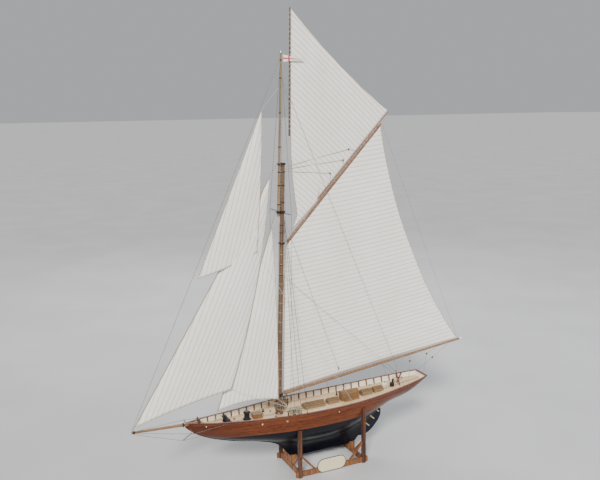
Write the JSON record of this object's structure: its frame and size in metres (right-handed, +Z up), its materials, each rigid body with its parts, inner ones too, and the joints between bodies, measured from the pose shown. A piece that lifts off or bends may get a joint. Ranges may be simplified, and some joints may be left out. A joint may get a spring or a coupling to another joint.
{
  "type": "model sailing ship",
  "caption": "Display model of a gaff-rigged racing cutter with five sails, planked mahogany hull and black underbody, standing in a wooden cradle.",
  "frame": {"origin": "centre of the whole model's footprint box on the surface it stands on", "axes": "+Z up, the bow points to -X, port side is -Y, starboard is +Y"},
  "size_m": [0.8204, 0.1164, 1],
  "materials": {
    "stand_wood": "oiled, reddish brown",
    "iron_black": "satin black",
    "plate_cream": "satin cream",
    "plate_border": "dark edge",
    "topsides_mahogany": "varnished, planked",
    "underbody_gloss": "gloss blue-black paint",
    "deck_planks": "planked, satin",
    "plywood": "bare",
    "rail_wood": "varnished",
    "pale_wood": "varnished",
    "white_paint": "satin",
    "mast_wood": "varnished",
    "silver": "polished",
    "brass": "satin",
    "rudder_paint": "gloss navy",
    "sailcloth": "woven, pencilled seams",
    "flag_cloth": "woven",
    "rigging_line": "waxed thread",
    "block_wood": "oiled"
  },
  "bodies": {
    "stand": {"stand_posts": "stand_wood", "stand_rails": "stand_wood", "stand_keel_blocks": "stand_wood", "stand_braces": "stand_wood", "stand_bolts": "iron_black", "name_plate": "plate_cream", "name_plate_border": "plate_border"},
    "ship": {"backbone": "plywood", "belaying_pins": "pale_wood", "bollards_and_cleats": "iron_black", "boom_crutch": "rail_wood", "bowsprit": "pale_wood", "bowsprit_bitts": "rail_wood", "bowsprit_rigging": "rigging_line", "bulkhead_frames": "plywood", "bulwark_stanchions": "rail_wood", "burgee": "flag_cloth", "capstan_base": "iron_black", "compass_stand": "white_paint", "deck": "deck_planks", "deck_ventilators": "iron_black", "deckhouse": "pale_wood", "dolphin_striker": "iron_black", "foredeck_hatch": "pale_wood", "hull_topsides": "topsides_mahogany", "hull_underbody": "underbody_gloss", "jib": "sailcloth", "jib_topsail": "sailcloth", "lower_mast": "mast_wood", "mainsheet": "rigging_line", "mast_coat": "rail_wood", "mast_spider_band": "iron_black", "mast_truck": "silver", "pin_racks": "rail_wood", "rail_cap": "rail_wood", "shroud_deadeyes": "block_wood", "shrouds": "rigging_line", "skylights": "pale_wood", "spar_irons": "iron_black", "stays": "rigging_line", "staysail": "sailcloth", "steering_pedestal": "iron_black", "sternpost_straps": "brass", "topmast": "mast_wood", "whisker_spreader": "white_paint", "windlass_frame": "iron_black"},
    "rudder": {"rudder": "rudder_paint", "rudder_straps": "brass"},
    "wheel": {"steering_wheel": "brass"},
    "windlass": {"windlass_barrel": "iron_black"},
    "capstan": {"capstan_drum": "iron_black"},
    "main_rig": {"boom": "pale_wood", "gaff": "mast_wood", "spar_jaws": "mast_wood", "topsail_yard": "mast_wood", "topsail_jackyard": "mast_wood", "mainsail": "sailcloth", "topsail": "sailcloth", "main_rig_lines": "rigging_line", "main_rig_blocks": "block_wood"}
  },
  "joints": [
    {"name": "hull_lift", "type": "slide", "parent": "stand", "child": "ship", "axis": [0, 0, 1], "range_m": [0, 0.12]},
    {"name": "rudder_turn", "type": "hinge", "parent": "ship", "child": "rudder", "pos_m": [0.1168, 0, 0.04], "axis": [0.6626, 0, 0.749], "range_deg": [-30, 30]},
    {"name": "wheel_turn", "type": "hinge", "parent": "ship", "child": "wheel", "pos_m": [0.2162, 0, 0.16182], "axis": [1, 0, 0], "range_deg": [-120, 120]},
    {"name": "windlass_turn", "type": "hinge", "parent": "ship", "child": "windlass", "pos_m": [-0.206, 0, 0.14559], "axis": [0, 1, 0], "continuous": true},
    {"name": "capstan_turn", "type": "hinge", "parent": "ship", "child": "capstan", "pos_m": [-0.16, 0, 0.14146], "axis": [0, 0, 1], "continuous": true},
    {"name": "boom_swing", "type": "hinge", "parent": "ship", "child": "main_rig", "pos_m": [-0.0835, 0, 0.136], "axis": [0.0349, 0, 0.9994], "range_deg": [-5, 5]}
  ],
  "couplings": [
    {"joint": "wheel_turn", "follows": "rudder_turn", "ratio": 4}
  ]
}
